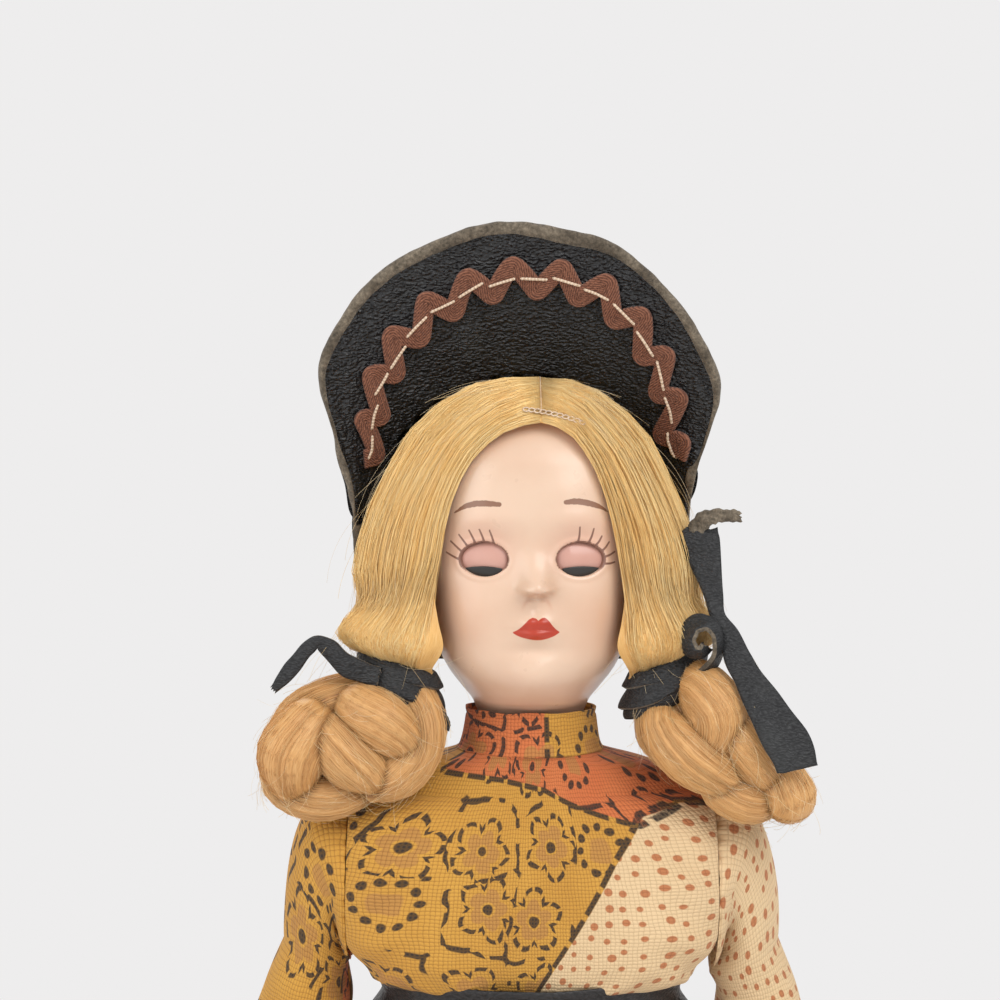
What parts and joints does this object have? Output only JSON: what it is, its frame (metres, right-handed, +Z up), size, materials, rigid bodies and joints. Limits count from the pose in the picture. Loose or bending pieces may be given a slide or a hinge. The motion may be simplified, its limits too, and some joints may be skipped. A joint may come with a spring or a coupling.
{
  "type": "costume doll",
  "caption": "Small hard plastic costume doll with strung arms, turning head, sleep eyes, looped braids, leather bonnet and a long printed dress.",
  "frame": {"origin": "on the ground under the middle of the skirt", "axes": "+Z up, the face looks along -Y, +X to the doll's own left"},
  "size_m": [0.09, 0.09, 0.2138],
  "materials": {
    "hard_plastic": "moulded hard plastic with painted cheeks, lips, brows and lashes",
    "eyelid_plastic": "pink painted lids",
    "lash_plastic": "moulded dark lash strip",
    "rubber": "stringing rubber",
    "steel": "plated steel wire and stampings",
    "lead": "dull cast lead",
    "calico": "coarse plain weave cotton printed with a patchwork of small flowers and dots",
    "white_cotton": "white cotton lawn",
    "black_leather": "pebbled black leather with a grey suede back",
    "rust_braid": "rust brown cotton rickrack",
    "mohair": "golden mohair"
  },
  "bodies": {
    "torso": {"torso_front_shell": "hard_plastic", "torso_back_shell": "hard_plastic", "arm_stringing_band": "rubber", "dress_bodice": "calico", "dress_collar": "calico", "dress_skirt": "calico", "petticoat": "white_cotton", "leather_belt": "black_leather", "back_snap_upper": "steel", "back_snap_lower": "steel"},
    "head": {"head_front_shell": "hard_plastic", "head_back_shell": "hard_plastic", "neck_post": "steel", "eye_bracket": "steel", "wig_hair": "mohair", "left_pigtail": "mohair", "right_pigtail": "mohair", "left_braid_loop": "mohair", "right_braid_loop": "mohair", "left_braid_tie": "black_leather", "right_braid_tie": "black_leather", "left_tie_strap": "black_leather", "right_tie_tail": "black_leather", "left_tie_curl": "black_leather", "bonnet_crown": "black_leather", "bonnet_brim": "black_leather", "rickrack_trim": "rust_braid"},
    "sleep_eyes": {"left_eyeball": "eyelid_plastic", "right_eyeball": "eyelid_plastic", "left_lash": "lash_plastic", "right_lash": "lash_plastic", "eye_rocker": "steel", "eye_weight": "lead"},
    "left_arm_body": {"left_arm": "hard_plastic", "left_arm_post": "steel", "left_sleeve": "calico"},
    "right_arm_body": {"right_arm": "hard_plastic", "right_arm_post": "steel", "right_sleeve": "calico"}
  },
  "joints": [
    {"name": "head_turn", "type": "hinge", "parent": "torso", "child": "head", "pos_m": [0, 0, 0.14], "axis": [0, 0, 1], "range_deg": [-60, 60]},
    {"name": "left_arm_swing", "type": "hinge", "parent": "torso", "child": "left_arm_body", "pos_m": [0.0275, 0, 0.122], "axis": [-1, 0, 0], "range_deg": [-40, 80]},
    {"name": "right_arm_swing", "type": "hinge", "parent": "torso", "child": "right_arm_body", "pos_m": [-0.0275, 0, 0.122], "axis": [-1, 0, 0], "range_deg": [-40, 80]},
    {"name": "eyes_rock", "type": "hinge", "parent": "head", "child": "sleep_eyes", "pos_m": [0, -0.0084, 0.167], "axis": [-1, 0, 0], "range_deg": [0, 38]}
  ]
}
